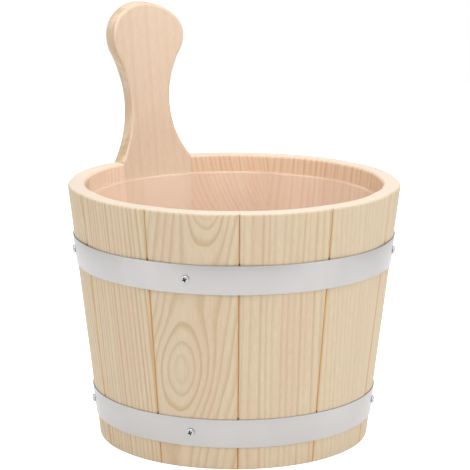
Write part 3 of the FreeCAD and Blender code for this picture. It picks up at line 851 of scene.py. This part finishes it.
def wood(name, turn, grain, seams=True):
    """Pine, with a board's grain and the turn that says where it stands in the tub."""
    look = settings("wood")
    material, tree, shader = new_material(name)
    place = tree.add("ShaderNodeTexCoord").outputs["Object"]
    turned_back = {"Vector": place, "Rotation": (0, 0, -turn), "Scale": (1 / MM, 1 / MM, 1 / MM)}
    local = tree.add("ShaderNodeMapping", turned_back).outputs[0]
    values = {
        "Place": local,
        "Knot Spread": (1, 1, 1),
        "Loop Spread": (1, 1, 1),
        "Early": paint(look.early),
        "Late": paint(look.late),
        "Warm": paint(look.warm),
        **grain,
    }
    pine = tree.add("ShaderNodeGroup", values, node_tree=pine_group()).outputs
    shade = pine["Color"]
    if seams:
        masks = tree.add("ShaderNodeGroup", {"Place": local, "Width": 2.2}, node_tree=seam_group()).outputs
        # the seam tone is partly the joint's own darker colour and partly painted shade in the groove
        shade = tree.blend(tree.math("MULTIPLY", masks["Share"], 0.8), shade, paint(look.seam))
        # the handle stave, which isn't turned, gets no painted light inside and on its rim
        if turn:
            # painted light: the inner side is made paler and pinker
            inside = tree.blend(1.0, shade, paint(look.inside), "MULTIPLY")
            # painted light: the rim's top is made pale and plain, as light from overhead shows it
            rim = tree.blend(look.rim_light_cover, shade, paint(look.rim))
            shade = tree.blend(masks["Inside"], shade, inside)
            shade = tree.blend(masks["Rim"], shade, rim)
        # painted light: the wood behind the liner is made paler still
        lit_behind_liner = tree.blend(1.0, shade, paint(look.lit_behind_liner), "MULTIPLY")
        shade = tree.blend(masks["Lit Behind Liner"], shade, lit_behind_liner)
        # painted shadow in the seams along the hoops' upper edges
        shade = tree.blend(tree.math("MULTIPLY", masks["Seam Shadow"], 0.75), shade, paint(look.seam_shadow))
    tree.join(shade, shader["Base Color"])
    tree.join(pine["Roughness"], shader["Roughness"])
    tree.join(0.35, shader["Specular IOR Level"])
    raised = {"Strength": 0.5, "Distance": look.bump, "Height": pine["Height"]}
    tree.join(tree.add("ShaderNodeBump", raised).outputs[0], shader["Normal"])
    return material


def steel(name, tint, roughness, blotches):
    """Rolled bare steel: faint lines along the strip, and blotches in its polish."""
    material, tree, shader = new_material(name)
    place = tree.add("ShaderNodeTexCoord").outputs["Object"]
    cloud = tree.noise(place, blotches, 3.0, 0.55)
    dull = tree.math("MULTIPLY_ADD", tree.smooth(cloud, 0.35, 0.7), 0.1, 0.9)
    tree.join(tree.dimmed(paint(tint), dull), shader["Base Color"])
    tree.join(tree.math("MULTIPLY_ADD", cloud, 0.14, roughness), shader["Roughness"])
    tree.join(1.0, shader["Metallic"])
    rolled = tree.noise(tree.vector("MULTIPLY", place, (1.0, 1.0, 60.0)), 60.0, 2.0)
    raised = {"Strength": 0.25, "Distance": 0.03 * MM, "Height": rolled}
    tree.join(tree.add("ShaderNodeBump", raised).outputs[0], shader["Normal"])
    return material


def clear_plastic(name):
    """Thin clear plastic that shows most at its edge and where it is seen at a slant."""
    part = settings("liner")
    material, tree, shader = new_material(name)
    place = tree.add("ShaderNodeTexCoord").outputs["Object"]
    height = tree.add("ShaderNodeSeparateXYZ", {0: place}).outputs[2]
    edge = tree.smooth(height, part.top - part.bead, part.top - 0.7 * part.bead)
    slant = tree.add("ShaderNodeLayerWeight", {"Blend": 0.25}).outputs["Facing"]
    haze = tree.noise(place, 30.0, 2.0)
    alpha = tree.math("MULTIPLY_ADD", slant, 0.14, tree.math("MULTIPLY_ADD", haze, 0.05, 0.22))
    tree.join(tree.math("MULTIPLY_ADD", edge, 0.12, alpha, clamp=True), shader["Alpha"])
    tree.join(paint(part.plastic), shader["Base Color"])
    tree.join(tree.math("MULTIPLY_ADD", haze, 0.08, 0.1), shader["Roughness"])
    return material


def board_grain(pith, lean, spacing, contrast, wobble=8.0, warmth=0.4, **bulges):
    """How a board was cut from the log, in millimetres, with bulges as centre, spread and size."""
    labels = ("Pith", "Lean", "Spacing", "Contrast", "Wobble", "Warmth")
    grain = dict(zip(labels, (pith, lean, spacing, contrast, wobble, warmth)))
    for name, (centre, spread, size) in bulges.items():
        label = name.capitalize()
        grain |= {label: centre, f"{label} Spread": spread, f"{label} Size": size}
    return grain


# by stave number, with the handle stave's first
GRAINS = [
    board_grain((-150, 70, 0), (0, 0.118, 0), 8.0, 0.14, wobble=2.5, warmth=1.0),
    board_grain((55, 70, 0), (0.05, 0, 0), 4.0, 0.28),
    board_grain((-60, 120, 0), (0.04, 0, 0), 3.6, 0.85),
    board_grain((95, 112, 0), (0.015, 0.02, 0), 3.9, 0.95, wobble=2.5, warmth=0.7),
    board_grain(
        (20, 70, 0),
        (-0.16, 0.118, 0),
        3.9,
        0.65,
        wobble=11.0,
        warmth=0.7,
        knot=((9, 106, 73), (21, 60, 30), -13.0),
        loop=((-11, 116, 206), (13, 60, 32), -19.0),
    ),
    board_grain((-110, 96, 0), (0.03, 0, 0), 5.0, 0.58, wobble=5.5, warmth=0.7),
    board_grain((-90, 60, 0), (0.1, 0.05, 0), 3.6, 0.35, wobble=4.0, warmth=0.3),
    board_grain((70, 90, 0), (0.02, 0, 0), 4.4, 0.6),
    board_grain((60, 60, 0), (-0.04, 0.05, 0), 5.2, 0.6),
    board_grain((80, 100, 0), (0.02, 0, 0), 5.0, 0.7, warmth=0.7),
    board_grain(
        (-50, 70, 0),
        (-0.06, 0.1, 0),
        3.6,
        0.6,
        wobble=5.0,
        warmth=0.8,
        loop=((0, 115, 105), (60, 60, 45), -30.0),
    ),
]


# the studio


def seen_rays(tree):
    """1 for what the camera, metal and clear things see, 0 for what lights the object."""
    rays = tree.add("ShaderNodeLightPath").outputs
    seen = tree.math("ADD", rays["Is Camera Ray"], rays["Is Glossy Ray"])
    return tree.math("ADD", seen, rays["Is Transmission Ray"], clamp=True)


def studio_floor():
    """A round matt floor that keeps the shadow and is seen through from below."""
    stage = settings("stage")
    below_foot = 0.05 * MM
    bm = bmesh.new()
    bmesh.ops.create_circle(bm, cap_ends=True, segments=96, radius=1.8)
    bmesh.ops.translate(bm, verts=bm.verts, vec=(0, 0, -below_foot))
    floor = plain_object("floor", bm)
    material, tree, shader = new_material("floor")
    tree.join(paint(stage.floor), shader["Base Color"])
    tree.join(0.9, shader["Roughness"])
    tree.join(0.0, shader["Specular IOR Level"])
    tree.join((1, 1, 1, 1), shader["Emission Color"])
    tree.join(tree.math("MULTIPLY", seen_rays(tree), stage.backing), shader["Emission Strength"])
    below = tree.add("ShaderNodeNewGeometry").outputs["Backfacing"]
    tree.join(tree.math("SUBTRACT", 1.0, below), shader["Alpha"])
    floor.data.materials.append(material)
    return floor


def studio_world():
    """A white surround that lights the object only a little."""
    world = bpy.data.worlds.new("studio")
    world.use_nodes = True
    tree = Tree(world.node_tree)
    levels = {"Value": seen_rays(tree), "To Min": settings("stage").fill, "To Max": 1.0}
    background = world.node_tree.nodes["Background"].inputs
    tree.join((1, 1, 1, 1), background["Color"])
    tree.join(tree.add("ShaderNodeMapRange", levels).outputs[0], background["Strength"])
    return world


def studio_lamp(name, turn, rise, away, size, power):
    """A round lamp that looks at the tub, so far round from the camera and up, in degrees."""
    lamp = bpy.data.lights.new(name, "AREA")
    lamp.shape = "DISK"
    lamp.size = size
    lamp.energy = power
    around, up = CAMERA_TURN + math.radians(turn), math.radians(rise)
    back = Vector((math.sin(around) * math.cos(up), -math.cos(around) * math.cos(up), math.sin(up)))
    aim = Vector((0, 0, 0.13))
    lamp_object = bpy.data.objects.new(name, lamp)
    lamp_object.location = aim + back * away
    lamp_object.rotation_euler = back.to_track_quat("Z", "Y").to_euler()
    bpy.context.scene.collection.objects.link(lamp_object)


def studio_camera():
    """The camera, where it stood for the photo."""
    place = (-0.8757, -1.2737, 0.4808)
    lens = bpy.data.cameras.new("camera")
    lens.lens = 167.0
    lens.sensor_width = 36.0
    lens.clip_end = 50.0
    camera = bpy.data.objects.new("camera", lens)
    pitch, yaw, roll = math.radians(12.225), math.radians(0.037), math.radians(0.169)
    ahead = Vector((math.sin(yaw) * math.cos(pitch), math.cos(yaw) * math.cos(pitch), -math.sin(pitch)))
    level = Vector((math.cos(yaw), -math.sin(yaw), 0))
    upright = level.cross(ahead)
    right = math.cos(roll) * level + math.sin(roll) * upright
    up = math.cos(roll) * upright - math.sin(roll) * level
    turn = Matrix.Rotation(CAMERA_TURN, 3, "Z") @ Matrix((right, up, -ahead)).transposed()
    camera.matrix_world = Matrix.Translation(place) @ turn.to_4x4()
    bpy.context.scene.collection.objects.link(camera)
    return camera


# operators


class PIGGIN_OT_staves(bpy.types.Operator):
    """Build the staves, the one with the handle first"""

    bl_idname = "piggin.staves"
    bl_label = "Staves"

    def execute(self, context):
        look = settings("wood")
        for number in range(settings("tub").stave_count):
            node = f"stave_{number}" if number else "handle_stave"
            turn = 2 * half_pitch() * number
            piece = finished(f"pine_{node}", turned(stave_mesh(handle=not number), turn))
            grain = dict(GRAINS[number % len(GRAINS)])
            # the palest stave's tone is partly its own and partly painted light
            if number in (0, PALE_AND_LIT_STAVE):
                grain["Early"] = grain["Warm"] = paint(look.pale if number else look.handle)
            piece.data.materials.append(wood(f"pine_{node}", turn, grain))
            if not number:
                # the sawn edges' darker tone is partly cut grain and partly painted shade
                grain = {**grain, "Spacing": 3.0, "Contrast": 0.4, "Early": paint(look.sawn)}
                piece.data.materials.append(wood("pine_sawn_edge_and_shade", turn, grain))
                mark_sawn_edge_and_shade(piece.data)
            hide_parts(node)
            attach(piece, "tub")
        return {"FINISHED"}


class PIGGIN_OT_bottom(bpy.types.Operator):
    """Build the three boards of the bottom"""

    bl_idname = "piggin.bottom"
    bl_label = "Bottom boards"

    def execute(self, context):
        piths = {"left": (-90, 70, 0), "middle": (12, 48, 0), "right": (85, 60, 0)}
        for side, (name, pith) in enumerate(piths.items(), -1):
            piece = finished(f"pine_bottom_{name}", board_mesh(side))
            grain = {**board_grain(pith, (0, 0, 0), 4.2, 0.6), "Early": paint(settings("wood").handle)}
            material = wood(f"pine_bottom_{name}", 0, grain, seams=False)
            # these boards' length runs along Y
            mapping = next(node for node in material.node_tree.nodes if node.type == "MAPPING")
            mapping.inputs["Rotation"].default_value = (math.pi / 2, 0, 0)
            piece.data.materials.append(material)
            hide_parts(f"bottom_board_{name}")
            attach(piece, "tub")
        return {"FINISHED"}


class PIGGIN_OT_hoops(bpy.types.Operator):
    """Build both hoops"""

    bl_idname = "piggin.hoops"
    bl_label = "Hoops"

    def execute(self, context):
        hoop = settings("hoop")
        metal = steel("hoop_steel", hoop.metal, 0.34, 14.0)
        for node, height in (("lower_hoop", hoop.lower_height), ("upper_hoop", hoop.upper_height)):
            piece = finished(f"steel_{node}", hoop_mesh(height))
            piece.data.materials.append(metal)
            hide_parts(node)
            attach(piece, "tub")
        return {"FINISHED"}


class PIGGIN_OT_screws(bpy.types.Operator):
    """Build the screws of both hoops"""

    bl_idname = "piggin.screws"
    bl_label = "Screws"

    def execute(self, context):
        hoop, part = settings("hoop"), settings("screw")
        metal = steel("screw_steel", part.metal, 0.22, 400.0)
        # the darker steel down in the cross is painted shade
        dark = steel("recess_shade_steel", part.recess, 0.4, 400.0)
        one = pressed_screw()
        stand = Matrix.Rotation(-math.pi / 2 - tilt(), 4, "X")
        for name, height in (("lower_hoop", hoop.lower_height), ("upper_hoop", hoop.upper_height)):
            bm = bmesh.new()
            middle = Matrix.Translation(Vector((0, outer_at(height), height)) + slant_up() * hoop.width / 2)
            for number in SCREWED:
                # at the handle stave the strip lies double
                layers = 1 if number else 2
                lift = Matrix.Translation((part.aside, 0, hoop.stand_off + layers * hoop.thickness))
                spin = Matrix.Rotation(0.4 * number + 0.3, 4, "Z")
                around = Matrix.Rotation(2 * half_pitch() * number, 4, "Z")
                place = around @ middle @ stand @ lift @ spin
                others = len(bm.verts)
                bm.from_mesh(one)
                bm.verts.ensure_lookup_table()
                bmesh.ops.transform(bm, matrix=place, verts=bm.verts[others:])
            piece = finished(f"steel_{name}_screws", bm, math.radians(30))
            for material in (metal, dark):
                piece.data.materials.append(material)
            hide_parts(f"{name}_screws")
            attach(piece, "tub")
        return {"FINISHED"}


class PIGGIN_OT_liner(bpy.types.Operator):
    """Build the clear liner"""

    bl_idname = "piggin.liner"
    bl_label = "Liner"

    def execute(self, context):
        bm = bmesh.new()
        spun(bm, liner_section(), LINER_STEPS, closed=False)
        piece = finished("clear_liner", bm)
        piece.data.materials.append(clear_plastic("clear_plastic"))
        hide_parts("liner")
        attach(piece, "liner")
        return {"FINISHED"}


class PIGGIN_OT_stage(bpy.types.Operator):
    """Build the floor, the light and the camera"""

    bl_idname = "piggin.stage"
    bl_label = "Studio"

    def execute(self, context):
        scene, stage = bpy.context.scene, settings("stage")
        scene.view_settings.view_transform = "Standard"
        floor = studio_floor()
        scene.world = studio_world()
        studio_lamp("top", 0.0, 84.0, 2.4, 2.56, stage.top)
        studio_lamp("front", 4.0, 50.0, 2.4, 1.8, stage.front)
        studio_lamp("left", -62.0, 22.0, 1.6, 1.1, stage.left)
        studio_lamp("right", 64.0, 22.0, 1.6, 1.1, stage.right)
        studio_lamp("back", 170.0, 35.0, 1.6, 1.1, stage.back)
        scene.camera = studio_camera()
        return {"FINISHED"}


OPERATORS = (
    PIGGIN_OT_staves,
    PIGGIN_OT_bottom,
    PIGGIN_OT_hoops,
    PIGGIN_OT_screws,
    PIGGIN_OT_liner,
    PIGGIN_OT_stage,
)


class PIGGIN_PT_panel(bpy.types.Panel):
    """Buttons and settings for the piggin's pieces"""

    bl_label = "Piggin"
    bl_idname = "PIGGIN_PT_panel"
    bl_space_type = "VIEW_3D"
    bl_region_type = "UI"
    bl_category = "Piggin"

    def draw(self, context):
        for operator in OPERATORS:
            self.layout.operator(operator.bl_idname)
        for kind, group in GROUPS.items():
            box = self.layout.box()
            box.label(text=kind.capitalize())
            for name in group.__annotations__:
                box.prop(settings(kind), name)


def register():
    """Add the classes and the scene's settings."""
    for kind, group in GROUPS.items():
        bpy.utils.register_class(group)
        setattr(bpy.types.Scene, f"piggin_{kind}", PointerProperty(type=group))
    for operator in OPERATORS:
        bpy.utils.register_class(operator)
    bpy.utils.register_class(PIGGIN_PT_panel)


def unregister():
    """Take them away again."""
    bpy.utils.unregister_class(PIGGIN_PT_panel)
    for operator in reversed(OPERATORS):
        bpy.utils.unregister_class(operator)
    for kind, group in GROUPS.items():
        delattr(bpy.types.Scene, f"piggin_{kind}")
        bpy.utils.unregister_class(group)


def main():
    """Build everything."""
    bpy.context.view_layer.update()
    register()
    for operator in OPERATORS:
        group, name = operator.bl_idname.split(".")
        getattr(getattr(bpy.ops, group), name)()


if __name__ == "__main__":
    main()
